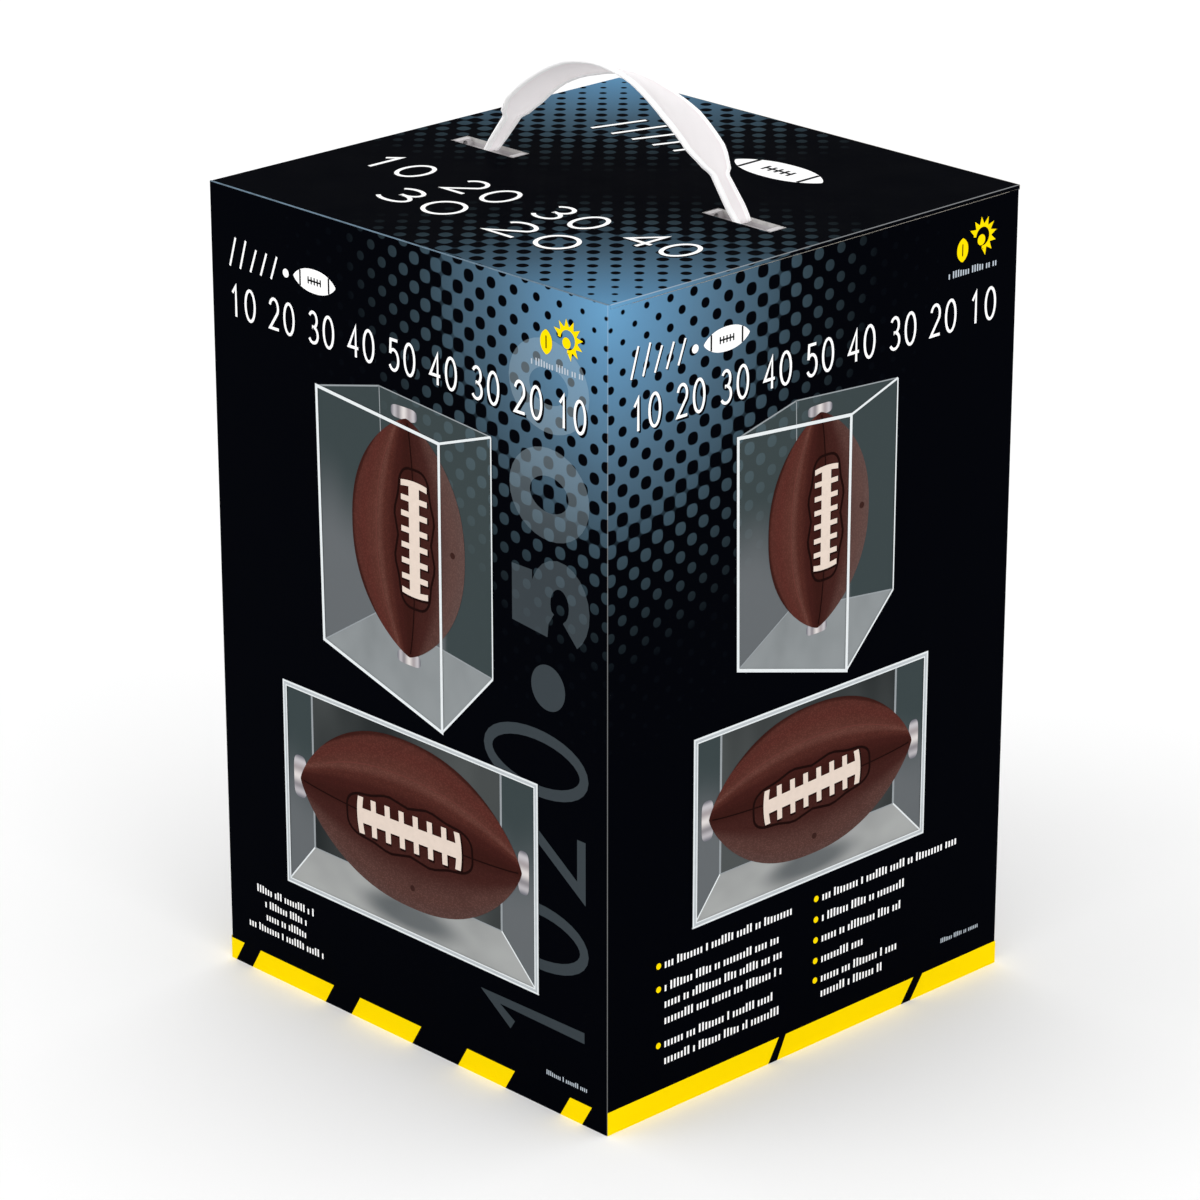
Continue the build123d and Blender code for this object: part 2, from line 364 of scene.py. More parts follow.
def board_material():
    """Uncoated board: grey liner with flecks and a faint trace of the flutes."""
    shader = Shader("board_inside")
    cloud = shader.noise(45.0, 4.0, 0.6)
    base = shader.mix(cloud, shade(GREY_BOARD, 0.84), shade(GREY_BOARD, 1.06))
    fleck = shader.noise(1400.0).step(0.62, 0.72)
    base = shader.mix(fleck * 0.35, base, srgb(120, 108, 92))
    ridge = (shader.axis(2) * (2 * math.pi / 2.4)).math("SINE")
    normal = ridge.fit(0.5, shader.noise(700.0, 3.0)).bump(0.12, 0.0002)
    return shader.surface(base, 0.85, normal, 0.25)


def cut_edge_material():
    """The raw cut edge of the board, where the flutes show as a fine ripple."""
    shader = Shader("board_cut_edge")
    run = shader.axis(0) + shader.axis(1) + shader.axis(2)
    ripple = (run * (2 * math.pi / 1.9)).math("SINE")
    base = shader.mix(ripple.step(-0.6, 0.8), srgb(150, 142, 130), srgb(190, 182, 169))
    return shader.surface(base, 0.9, ripple.bump(0.2, 0.0002), 0.2)


def crease_material(name, colour, patchiness):
    """A light board colour made patchy by noise: the painted highlight along the long walls' top, and the
    slots' plain cut edges.
    """
    shader = Shader(name)
    light_band = srgb(*colour)
    patches = shader.noise(260.0, 5.0, 0.65).step(0.32, 0.6)
    return shader.surface(shader.mix(patches, shade(light_band, 1 - patchiness), light_band), 0.6, gloss=0.1)


def strap_material():
    """Milky moulded plastic that light passes through, whiter in its thick rims; its faint emission is
    painted light on its shaded underside.
    """
    shader = Shader("strap_plastic")
    rim = shader.picture()[0]
    flow = shader.noise(40.0, 3.0, 0.5, shader.stretched(0.3, 1.0, 1.0))
    web = shader.mix(flow, srgb(212, 204, 206), srgb(226, 218, 220))
    return shader.surface(
        shader.mix(rim, web, srgb(250, 250, 250)),
        flow.fit(0.1, 0.3),
        shader.noise(2200.0).bump(0.06, 0.0001),
        0.4,
        Subsurface_Weight=1.0,
        Subsurface_Radius=(0.006, 0.006, 0.006),
        Subsurface_Scale=1.0,
        # painted light: a faint glow lifts the strap's shaded underside, as if lit from the front
        Emission_Color=srgb(255, 250, 251),
        Emission_Strength=0.2,
    )


def anchor_material():
    """The handle's grey-white anchor plates, with a fine moulded grain."""
    shader = Shader("anchor_plastic")
    cloud = shader.noise(120.0, 3.0)
    colour = shader.mix(cloud, srgb(168, 164, 166), srgb(206, 203, 204))
    return shader.surface(colour, cloud.fit(0.1, 0.36), shader.noise(1800.0).bump(0.08, 0.0001), 0.4)


def foam_material():
    """White expanded foam: closed cells a few millimetres across."""
    shader = Shader("packing_foam")
    cells = shader.cells(330.0, shader.coordinates())
    colour = shader.mix(cells.step(0.2, 0.75), srgb(246, 246, 242), srgb(214, 214, 208))
    return shader.surface(colour, 0.8, cells.bump(0.5, 0.0006), 0.3)


def acrylic_material(thin_axis):
    """A clear sheet whose polished edges glow; thin_axis is 0, 1 or 2 for x, y or z."""
    shader = Shader(f"clear_acrylic_{'xyz'[thin_axis]}")
    normal = shader.node("ShaderNodeNewGeometry", output="True Normal")
    facing = abs(shader.node("ShaderNodeSeparateXYZ", {"Vector": normal}, thin_axis))
    edge = 1.0 - facing.step(0.4, 0.6)
    smudge = shader.noise(35.0, 4.0, 0.6)
    clear = shader.node("ShaderNodeBsdfTransparent", {"Color": srgb(253, 254, 254)})
    gloss = {
        "Base Color": shader.mix(smudge, srgb(214, 226, 226), srgb(232, 240, 240)),
        "Metallic": 1.0 - edge,
        "Roughness": smudge.fit(0.08, 0.04),
        "IOR": 1.49,
    }
    faint = shader.node("ShaderNodeFresnel", {"IOR": 1.49}).fit(0.45, 0.01)
    share = (edge * 0.75).math("MAXIMUM", faint, clamp=True)
    parts = {0: share, 1: clear, 2: shader.node("ShaderNodeBsdfPrincipled", gloss)}
    return shader.finish(shader.node("ShaderNodeMixShader", parts))


PICTURED = ("long", "side")  # the faces that carry pictures
PANE_TONES = ((112, 129, 131), (184, 191, 196))
BACK_TONES = ((36, 40, 41), (80, 84, 84))
# light tones of the painted highlights along the folded corners and the lid's edges
HIGHLIGHT_TONES = ((225, 229, 233), (255, 255, 255))
PRINTS = {face: print_material(face) for face in GLOWS}
PANES = {face: tinted_print(f"pictured_pane_{face}", face, PANE_TONES, 0.25, lit=True) for face in PICTURED}
BACKS = {face: tinted_print(f"pictured_back_{face}", face, BACK_TONES, 0.9) for face in PICTURED}
VEIL = tinted_print("veil", "long", ((172, 192, 204), (184, 203, 214)), 0.085, (200.0, 265.0, 0.2))
# painted highlight: a light band on the middle facet of each folded corner of the long walls
FOLD_HIGHLIGHT = tinted_print("fold_highlight", "long", HIGHLIGHT_TONES, 0.14)
# painted highlight: a light band along the lid's two edges over the side walls
LID_EDGE_HIGHLIGHT = tinted_print("lid_edge_highlight", "lid", HIGHLIGHT_TONES, 0.26)
# painted highlight: a light line along the top of the long walls
TOP_EDGE_HIGHLIGHT = crease_material("top_edge_highlight", (98, 122, 140), 0.35)
SLOT_EDGE = crease_material("slot_edge", (206, 204, 202), 0.2)
BOARD_INSIDE = board_material()
CUT_EDGE = cut_edge_material()
WHITE_INK = ink_material("ink_white", (255, 255, 255), 0.03)
YELLOW_INK = ink_material("ink_yellow", (255, 221, 0), 0.03)
SHADOW_INK = ink_material("ink_black", BLACK, 0.3)
CAPTION_INK = ink_material("ink_caption", (186, 196, 206), 0.05)
EDGE_BRIGHT = ink_material("pictured_edge_bright", (228, 233, 235), 0.1)
EDGE_DIM = ink_material("pictured_edge_dim", (150, 156, 160), 0.15)
RIM = ink_material("pictured_rim", (190, 196, 200), 0.2)
SEAM = ink_material("pictured_seam", (30, 12, 10), 0.3)
VALVE = ink_material("pictured_valve", (60, 36, 32), 0.3)
SHEEN = ink_material("pictured_sheen", (104, 58, 51), 0.25)
LACE = ink_material("pictured_lace", (228, 211, 198), 0.14)
CASE_FLOOR = floor_material("pictured_floor", ((104, 109, 111), (138, 143, 145)))
CASE_FLOOR_LIT = floor_material("pictured_floor_lit", ((96, 98, 98), (166, 168, 167)), 0.75)
BALL = ball_material("pictured_ball", 0.0)
BALL_BEHIND_PANE = ball_material("pictured_ball_behind_pane", 0.08)
CUP = cup_material()


# ---- meshes


def link(name, data):
    """A new object in the scene."""
    piece = bpy.data.objects.new(name, data)
    bpy.context.scene.collection.objects.link(piece)
    return piece


def add_mesh(name, vertices, faces, materials, indexes=None, picture=None):
    """A mesh object from points in millimetres, with a material index for each face."""
    mesh = bpy.data.meshes.new(name)
    mesh.from_pydata([Vector(point) * MM for point in vertices], [], faces)
    for material in materials:
        mesh.materials.append(material)
    if indexes:
        mesh.polygons.foreach_set("material_index", indexes)
    if picture:
        attribute = mesh.attributes.new("picture", "FLOAT_VECTOR", "POINT")
        attribute.data.foreach_set("vector", [value for point in picture for value in point])
    mesh.update()
    return link(name, mesh)


def settle(piece, body, *nodes, turned=False):
    """A piece of printed board rides on a body and stands for any nodes named.

    A turned piece was made for the opposite side of the carton.
    """
    if turned:
        piece.matrix_world = HALF_TURN
    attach(piece, body)
    if nodes:
        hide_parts(*nodes)


def rectangle(u0, u1, v0, v1):
    return [(u0, v0), (u1, v0), (u1, v1), (u0, v1)]


def upright(outline, *levels):
    """The same outline at several heights."""
    return [[(x, y, z) for x, y in outline] for z in levels]


def loft(rings):
    """Vertices and faces of a solid through rings of points; its two ends come last."""
    count = len(rings[0])
    faces = []
    for first in range(0, count * (len(rings) - 1), count):
        for spot in range(count):
            after = (spot + 1) % count
            faces.append((first + spot, first + after, first + count + after, first + count + spot))
    last = count * (len(rings) - 1)
    faces += [tuple(reversed(range(count))), tuple(range(last, last + count))]
    return [point for ring in rings for point in ring], faces


def long_wall(name, top):
    """The wall on the -Y side, with a folded corner at each end."""
    outline = [(WALL_OUT, -WALL_IN), (-WALL_OUT, -WALL_IN)]
    indexes = [1, 0]
    # the middle facet of each fold takes a painted highlight (material 2), the top face another (material 3)
    light_band = FOLD_FACETS // 2
    for side, beyond in ((-1, 0), (1, 5)):
        centre = (side * (WALL_OUT - FOLD_RADIUS), FOLD_RADIUS - WALL_OUT)
        outline += arc(centre, (FOLD_RADIUS, FOLD_RADIUS), 225 + 45 * side, 315 + 45 * side, FOLD_FACETS)
        indexes += [0] * light_band + [2] + [beyond] * (FOLD_FACETS - light_band)
    materials = [PRINTS["long"], BOARD_INSIDE, FOLD_HIGHLIGHT, TOP_EDGE_HIGHLIGHT, CUT_EDGE, PRINTS["side"]]
    return add_mesh(name, *loft(upright(outline, 0.0, top)), materials, indexes + [4, 3])


def side_wall(name, shoulders, tops):
    """The wall on the +X side; tops are its heights between its shoulders and at them."""
    low, high = tops
    start, end = shoulders
    profile = [(-WALL_IN, 0.0), (WALL_IN, 0.0), (WALL_IN, high), (end, high)]
    profile += [(end, low), (start, low), (start, high), (-WALL_IN, high)]
    rings = [[(x, y, z) for y, z in profile] for x in (WALL_IN, WALL_OUT)]
    indexes = [2] * len(profile) + [1, 0]
    return add_mesh(name, *loft(rings), [PRINTS["side"], BOARD_INSIDE, CUT_EDGE], indexes)


def lid_board():
    """The lid, cut through at the handle's slots, with its top edges eased."""
    low, high = cad_box("lid_panel")
    half_long, half_wide = SLOT_HALF
    xs = [low.x, low.x + LID_CHAMFER, -SLOT_X - half_long, -SLOT_X + half_long]
    xs += [SLOT_X - half_long, SLOT_X + half_long, high.x - LID_CHAMFER, high.x]
    ys = [low.y, low.y + LID_CHAMFER, -half_wide, half_wide, high.y - LID_CHAMFER, high.y]
    columns, rows = len(xs), len(ys)
    vertices, faces, indexes = [], [], []
    for level, ease in ((high.z, LID_CHAMFER), (low.z, 0.0)):
        for row, y in enumerate(ys):
            for column, x in enumerate(xs):
                rim = column in (0, columns - 1) or row in (0, rows - 1)
                vertices.append((x, y, level - ease * rim))

    def corner(column, row, under):
        return (under * rows + row) * columns + column

    def within(column, row):
        return 0 <= column < columns - 1 and 0 <= row < rows - 1

    def solid(column, row):
        is_slot = row == 2 and column in (2, 4)
        return within(column, row) and not is_slot

    cells = [(column, row) for row in range(rows - 1) for column in range(columns - 1)]
    for column, row in filter(lambda cell: solid(*cell), cells):
        square = rectangle(column, column + 1, row, row + 1)
        faces.append([corner(*spot, 0) for spot in square])
        faces.append([corner(*spot, 1) for spot in reversed(square)])
        # the tops of the lid's two end strips take a painted highlight
        indexes += [1 if column in (0, columns - 2) else 0, 2]
        beyond = ((column, row - 1), (column + 1, row), (column, row + 1), (column - 1, row))
        for side, spot in enumerate(beyond):
            if not solid(*spot):
                first, second = square[side], square[(side + 1) % 4]
                faces.append([corner(*first, 0), corner(*first, 1), corner(*second, 1), corner(*second, 0)])
                indexes.append(3 if within(*spot) else 5 - side % 2)
    materials = [PRINTS["lid"], LID_EDGE_HIGHLIGHT, BOARD_INSIDE, SLOT_EDGE, PRINTS["side"], PRINTS["long"]]
    return add_mesh("lid_board", vertices, faces, materials, indexes)


def dust_board(side, name):
    """A dust flap of plain board, whose printed liner is the crease at its root."""
    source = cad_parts[f"dust_flap_{name}"].data
    middle = sum(corner.z for corner in cad_box(f"dust_flap_{name}")) / 2
    vertices = []
    for vertex in source.vertices:
        x, y, z = vertex.co / MM
        vertices.append((min(abs(x), WALL_OUT - LINER), side * y, z + FLAP_FILL * (z > middle)))
    faces = [tuple(polygon.vertices) for polygon in source.polygons]
    indexes = [0 if abs(polygon.normal.z) > 0.9 else 1 for polygon in source.polygons]
    return add_mesh(f"dust_board_{name}", vertices, faces, [BOARD_INSIDE, CUT_EDGE], indexes)


def liner(name, rings, face, outside):
    """A strip of printed liner through rings of four; outside is its printed side."""
    indexes = [0 if side == outside else 1 for side in range(4)] * (len(rings) - 1) + [1, 1]
    return add_mesh(name, *loft(rings), [PRINTS[face], BOARD_INSIDE], indexes)


def dust_crease(side, name):
    """The printed liner between a side wall and its dust flap."""
    (_, start, low), (_, end, high) = cad_box(f"dust_flap_{name}")
    low -= FLAP_FILL
    outline = rectangle(WALL_OUT - LINER, WALL_OUT + INK_STEP / 2, start - CREASE_LAP, end + CREASE_LAP)
    levels = [low + (high - low) * row / CREASE_ROWS for row in range(CREASE_ROWS + 1)]
    levels[0] -= CREASE_LAP
    rings = upright([(side * x, y) for x, y in outline], *levels)
    crease = liner(f"dust_crease_{name}", rings[::side], "side" if side > 0 else "far_side", 1)
    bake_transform(crease)


def lid_crease():
    """The printed liner that runs up from the back wall to the lid's hinge line."""
    low, high = cad_box("lid_panel")
    outline = rectangle(low.x, high.x, -WALL_OUT - 0.2, -high.y - 0.02)
    levels = (cad_box("back_panel")[1].z - LINER, HEIGHT - 0.1)
    return liner("lid_crease", upright(outline, *levels), "long", 0)


def tuck_crease():
    """The printed liner between the lid and its tuck flap."""
    half, front = cad_box("tuck_flap")[1].x, cad_box("lid_panel")[0].y
    rings = []
    for row in range(CREASE_ROWS, -1, -1):
        depth = CREASE_LAP + TUCK_START * row / CREASE_ROWS
        outer = front + depth * TUCK_LEAN - INK_STEP / 2
        rings += upright(rectangle(-half, half, outer, outer + LINER), HEIGHT - depth)
    crease = liner("tuck_crease", rings, "long", 0)
    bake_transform(crease)


# ---- print art


def arc(centre, radii, start, end, count):
    """Points along an elliptical arc; angles in degrees."""
    angles = [math.radians(start + (end - start) * step / count) for step in range(count + 1)]
    return [(centre[0] + radii[0] * math.cos(a), centre[1] + radii[1] * math.sin(a)) for a in angles]


def disc(centre, radius, count=24):
    return arc(centre, (radius, radius), 0, 360, count)[:-1]


def rounded(angle, powers):
    """A point on a rounded box, -1 to 1 each way; lower powers are squarer."""
    waves = (math.cos(angle), math.sin(angle))
    return [math.copysign(abs(wave) ** power, wave) for wave, power in zip(waves, powers)]


def middle(box):
    """The centre and the half size of a box (u0, u1, v0, v1)."""
    u0, u1, v0, v1 = box
    return ((u0 + u1) / 2, (v0 + v1) / 2), ((u1 - u0) / 2, (v1 - v0) / 2)


def ribbon(points, width, closed=False):
    """Quads along a line, mitred at its corners."""
    count = len(points)
    sides = []
    for index, point in enumerate(points):
        before = points[index - 1] if closed or index else point
        after = points[(index + 1) % count] if closed or index < count - 1 else point
        steps = [Vector((b[0] - a[0], b[1] - a[1])) for a, b in ((before, point), (point, after)) if a != b]
        directions = [step.normalized() for step in steps]
        mean = (directions[0] + directions[-1]).normalized()
        offset = Vector((-mean.y, mean.x)) * (width / 2 / max(0.4, mean.dot(directions[0])))
        sides.append(((point[0] - offset.x, point[1] - offset.y), (point[0] + offset.x, point[1] + offset.y)))
    pairs = zip(sides, sides[1:] + sides[:1] if closed else sides[1:])
    return [[first[0], second[0], second[1], first[1]] for first, second in pairs]


def clip(points, limit, keep):
    """The part of a convex outline left (keep -1) or right (keep 1) of u = limit."""
    kept = []
    for start, end in zip(points, points[1:] + points[:1]):
        inside = (start[0] - limit) * keep >= 0
        if inside:
            kept.append(start)
        if inside != ((end[0] - limit) * keep >= 0):
            share = (limit - start[0]) / (end[0] - start[0])
            kept.append((limit, start[1] + share * (end[1] - start[1])))
    return kept


class Ink:
    """Flat printed shapes on one face of the carton."""

    def __init__(self, face):
        self.face = face
        self.vertices, self.faces, self.indexes = [], [], []
        self.materials, self.picture = [], []

    def point(self, u, v, layer):
        raised = layer * INK_STEP
        if self.face == "long":
            return (u - CARTON, -WALL_OUT - raised, v)
        if self.face == "side":
            return (WALL_OUT + raised, u - CARTON, v)
        return (u - CARTON, v - CARTON, HEIGHT + raised)

    def fill(self, outline, layer, material, frame_of=None):
        """One filled outline; frame_of gives a point's place in its own picture."""
        outline = list(outline)
        turns = zip(outline, outline[1:] + outline[:1])
        if sum(a[0] * b[1] - b[0] * a[1] for a, b in turns) < 0:  # clockwise
            outline.reverse()
        if material not in self.materials:
            self.materials.append(material)
        first = len(self.vertices)
        for u, v in outline:
            self.vertices.append(self.point(u, v, layer))
            self.picture.append((*frame_of(u, v), 0.0) if frame_of else (0.0, 0.0, 0.0))
        self.faces.append(tuple(range(first, first + len(outline))))
        self.indexes.append(self.materials.index(material))

    def stroke(self, points, width, layer, material, closed=False):
        """A line of ink; each part lies a hair above the last, so crossings stay clean."""
        quads = ribbon(points, width, closed)
        for index, quad in enumerate(quads):
            self.fill(quad, layer + 0.1 * index / len(quads), material)

    def piece(self, name):
        return add_mesh(name, self.vertices, self.faces, self.materials, self.indexes, self.picture)


# Strokes of plain yard-line numerals in a box one unit wide and one high.
NUMERALS = {
    "0": (arc((0.5, 0.5), (0.5, 0.5), 90, 450, 32)[:-1],),
    "1": ([(0.2, 0.76), (0.56, 1.0), (0.56, 0.0)],),
    "2": ([*arc((0.5, 0.71), (0.44, 0.29), 165, -32, 16), (0.04, 0.03), (0.98, 0.03)],),
    "3": ([*arc((0.48, 0.75), (0.4, 0.25), 150, -90, 16), *arc((0.48, 0.26), (0.48, 0.26), 90, -150, 18)],),
    "4": ([(0.76, 0.0), (0.76, 0.97), (0.02, 0.3), (1.02, 0.3)],),
    "5": (
        [(0.9, 0.97), (0.2, 0.97), (0.14, 0.52)],
        [(0.14, 0.52), *arc((0.48, 0.33), (0.48, 0.33), 125, -148, 18)],
    ),
}
SPACE = 0.5
TITLE = "10 20 30 40 50 40 30 20 10"


def numerals(ink, text, box, gap, width, layer, material, turned=False, shift=0.0):
    """Numerals that fill a box (u0, u1, v0, v1); turned ones read upwards."""
    u0, u1, v0, v1 = box
    length, height = (v1 - v0, u1 - u0) if turned else (u1 - u0, v1 - v0)
    spaces = text.count(" ")
    wide = length / (len(text) - spaces + gap * (len(text) - 1) + SPACE * spaces)
    cursor = 0.0
    for mark in text:
        for number, strokes in enumerate(NUMERALS.get(mark, ())):
            placed = []
            for x, y in strokes:
                along = cursor + width / 2 + x * (wide - width)
                up = width / 2 + y * (height - width)
                u, v = (u1 - up, v0 + along) if turned else (u0 + along, v0 + up)
                placed.append((u + shift, v - shift))
            ink.stroke(placed, width, layer + 0.15 * number, material, closed=mark == "0")
        cursor += wide * ((SPACE if mark == " " else 1.0) + gap)


def draw_title(ink, text, box, width):
    numerals(ink, text, box, 0.32, width, 1, SHADOW_INK, shift=0.8)
    numerals(ink, text, box, 0.32, width, 2, WHITE_INK)


WORD_LENGTHS = (6, 3, 8, 1, 7, 5, 2, 9, 4)
LETTER_HEIGHTS = (1.0, 0.72, 0.72, 0.86, 0.72, 1.0, 0.72, 0.72, 0.78, 0.72, 1.0, 0.72)


def greeked_line(ink, u0, u1, v, height, layer, material, seed):
    """A line of small print, drawn as plain blocks in word-like groups."""
    advance = 0.5 * height
    cursor, word, letter = u0, seed, seed
    while cursor < u1 - advance:
        for _ in range(WORD_LENGTHS[word % len(WORD_LENGTHS)]):
            if cursor + advance > u1:
                break
            base = v - height / 2
            top = base + LETTER_HEIGHTS[(letter * 5 + word) % len(LETTER_HEIGHTS)] * height
            ink.fill(rectangle(cursor, cursor + advance * 0.5, base, top), layer, material)
            cursor += advance
            letter += 1
        cursor += advance * 0.7
        word += 1


def ball_width(along):
    """The ball's half width at a place along it, as a share of the greatest."""
    return max(0.0, 1 - abs(along) ** 2.3) ** 0.77


def ball_outline(count=44):
    """A ball's outline as (across, along), each -1 to 1, anticlockwise."""
    side = []
    for step in range(count + 1):
        along = -math.cos(math.pi * step / count)
        side.append((ball_width(along), along))
    return side + [(-across, along) for across, along in reversed(side[1:-1])]


LACES = 8
LACE_FLARE = 0.03


def lace_marks():
    """Lace shapes in their own box: x across the bar, y along it, each -1 to 1."""
    marks = [rectangle(-0.4, 0.4, -0.97, 0.97)]
    spacing = 2.0 / (LACES - 1) * 0.945
    thick = spacing * 0.18
    for index in range(LACES):
        y = -0.945 + index * spacing
        if 0 < index < LACES - 1:
            marks.append(rectangle(-1, 1, y - thick, y + thick))
            continue
        away = -1 if index == 0 else 1
        xs = [x / 4 for x in range(-4, 5)]
        outer = [(x, y + away * (0.055 - LACE_FLARE * x**2)) for x in xs]
        marks.append(outer + [(x, y - away * (thick + LACE_FLARE * x**2)) for x in reversed(xs)])
    return marks


def panel_outline(count=64):
    """The stitched panel round the laces: a long closed curve with a soft waist."""
    points = []
    for step in range(count):
        x, y = rounded(2 * math.pi * step / count, (0.55, 0.75))
        points.append((x * (1 - 0.1 * math.cos(3 * math.pi * y) * (1 - y * y)), y))
    return points


def draw_ball(ink, box, lace_box, valve, standing, pane_edge=None, tilt=0.0):
    """A pictured ball in its box, with its seams, laces and valve."""
    centre, half = middle(box)
    lace_centre, lace_half = middle(lace_box)
    turn = Matrix.Rotation(math.radians(tilt), 2)

    def place(across, along):
        u, v = (-across, along) if standing else (along, across)
        return (centre[0] + u * half[0], centre[1] + v * half[1])

    def unplace(u, v):
        u, v = (u - centre[0]) / half[0], (v - centre[1]) / half[1]
        return (-u, v) if standing else (v, u)

    def lace_place(spot, grow=(1.0, 1.0)):
        x, y = spot[0] * grow[0], spot[1] * grow[1]
        u, v = (x, y) if standing else (y, x)
        offset = turn @ Vector((u * lace_half[0], v * lace_half[1]))
        return (lace_centre[0] + offset.x, lace_centre[1] + offset.y)

    def meridian(share, reach, layer, material):
        stations = [reach * (step / 14 - 1) for step in range(29)]
        ink.stroke([place(share * ball_width(along), along) for along in stations], 0.5, layer, material)

    outline = [place(*spot) for spot in ball_outline()]
    if pane_edge:
        ink.fill(clip(outline, pane_edge, -1), 3, BALL, unplace)
        ink.fill(clip(outline, pane_edge, 1), 3, BALL_BEHIND_PANE, unplace)
    else:
        ink.fill(outline, 3, BALL, unplace)
    meridian(unplace(*lace_centre)[0], 0.97, 4, SEAM)
    meridian(0.56, 0.76, 4.2, SHEEN)
    ink.stroke([lace_place(spot, (1.42, 1.2)) for spot in panel_outline()], 0.95, 4.2, SEAM, closed=True)
    for number, mark in enumerate(lace_marks()):
        under = [lace_place(spot, (1.06, 1.02)) for spot in mark]
        ink.fill([(u + 0.3, v - 0.45) for u, v in under], 4.6 if number else 4.5, SEAM)
        ink.fill([lace_place(spot) for spot in mark], 5.2 if number else 5, LACE)
    ink.fill(disc(valve, 1.2), 4, VALVE)


def draw_cup(ink, box, turned):
    """A pictured cradle cup at one tip of the ball: a short ring with a round mouth."""
    centre, half = middle(box)

    def place(u, v):
        u, v = (u - centre[0]) / half[0], (v - centre[1]) / half[1]
        return (v, u) if turned else (u, v)

    outline = []
    for step in range(36):
        x, y = rounded(math.radians(step * 10), (0.45, 0.6))
        u, v = (y, x) if turned else (x, y)
        outline.append((centre[0] + half[0] * u, centre[1] + half[1] * v))
    ink.fill(outline, 2.4, CUP, place)


def draw_upright(ink, top, bottom, ball, laces, cups, valve):
    """The case standing up: four panes, the ball between its cups, bright edges.

    Its top and bottom each give the front left, front right, back right and back left corner.
    """
    flt, frt, brt, blt = top
    flb, frb, brb, blb = bottom
    width, height = frt[0] - flt[0], flt[1] - flb[1]

    def place(u, v):
        return (2 * (u - flt[0]) / width - 1, 2 * (v - flb[1]) / height - 1)

    for number, pane in enumerate(((flt, frt, frb, flb), (frt, brt, brb, frb), (flt, blt, brt, frt))):
        ink.fill(pane, 1 + 0.1 * number, PANES[ink.face], place)
    ink.fill((flb, frb, brb, blb), 1.5, CASE_FLOOR, place)
    glint = (blt[0] + 0.4, blt[1] - 0.18 * height)
    far = ((blt, brt, 0.45), (blt, flt, 0.6), (blb, flb, 0.45), (blb, brb, 0.5), (blt, glint, 0.4))
    for start, end, width in far:
        ink.stroke([start, end], width, 2, EDGE_DIM)
    for cup in cups:
        draw_cup(ink, cup, False)
    draw_ball(ink, ball, laces, valve, True, pane_edge=frt[0])
    for start, end, width, layer in ((frt, brt, 0.9, 5.5), (frb, brb, 0.8, 5.6), (brt, brb, 0.6, 5.7)):
        ink.stroke([start, end], width, layer, EDGE_BRIGHT)
    ink.stroke([flt, frt, frb, flb], 1.25, 6, EDGE_BRIGHT, closed=True)


def draw_lying(ink, rect, back, ball, laces, cups, valve):
    """The case on its side, seen square on, with a two-line white rim."""
    u0, u1, v0, v1 = rect
    left, right, floor = back

    def place(u, v):
        return (2 * (u - u0) / (u1 - u0) - 1, 2 * (v - v0) / (v1 - v0) - 1)

    ink.fill(rectangle(*rect), 1, PANES[ink.face], place)
    ink.fill(rectangle(left, right, floor, v1), 1.2, BACKS[ink.face], place)
    ink.fill([(u0, v0), (u1, v0), (right, floor), (left, floor)], 1.5, CASE_FLOOR_LIT, place)
    ink.stroke([(left, floor), (right, floor)], 0.4, 2.2, EDGE_DIM)
    for outer, inner in ((u0, left), (u1, right)):
        ink.stroke([(inner, floor), (inner, v1)], 1.0, 2, EDGE_DIM)
        ink.stroke([(outer, v0), (inner, floor)], 0.6, 2.2, EDGE_BRIGHT)
    for cup in cups:
        draw_cup(ink, cup, True)
    draw_ball(ink, ball, laces, valve, False, tilt=2.4)
    rims = ((1.05, 2.1, 5.6, RIM), (0.35, 0.7, 6, EDGE_BRIGHT), (1.85, 0.5, 6, EDGE_BRIGHT))
    for inset, width, layer, material in rims:
        corners = rectangle(u0 + inset, u1 - inset, v0 + inset, v1 - inset)
        ink.stroke(corners, width, layer, material, closed=True)


def draw_mark(ink, box):
    """A generic mark: slanted hash strokes, a dot and a small ball."""
    u0, u1, v0, v1 = box
    scale, tall = (u1 - u0) / 58, v1 - v0
    for index in range(5):
        foot = u0 + (1.0 + 5.6 * index) * scale
        top = v1 if index < 2 else v0 + 0.8 * tall
        for shift, layer, material in ((0.5 * scale, 1, SHADOW_INK), (0.0, 2, WHITE_INK)):
            ends = [(foot + shift, v0 - shift), (foot + 3.4 * scale + shift, top - shift)]
            ink.stroke(ends, 0.9 * scale, layer, material)
    ink.fill(disc((u0 + 31.5 * scale, v0 + 0.36 * tall), 1.6 * scale), 2, WHITE_INK)
    u, v = u0 + 46.8 * scale, v0 + 0.38 * tall
    ball = [(u + 11.2 * scale * along, v + 0.4 * tall * across) for across, along in ball_outline(24)]
    ink.fill(ball, 2, WHITE_INK)
    seam = 3.6 * scale
    ink.stroke([(u - seam, v), (u + seam, v)], 0.6 * scale, 3, SHADOW_INK)
    bars = [(index * seam * 0.45, 1.3 * scale, 0.6, 3.4 + 0.1 * index) for index in range(-2, 3)]
    bars += [(side * 7.6 * scale, 0.26 * tall, 0.8, 3) for side in (-1, 1)]
    for offset, reach, width, layer in bars:
        ink.stroke([(u + offset, v - reach), (u + offset, v + reach)], width * scale, layer, SHADOW_INK)


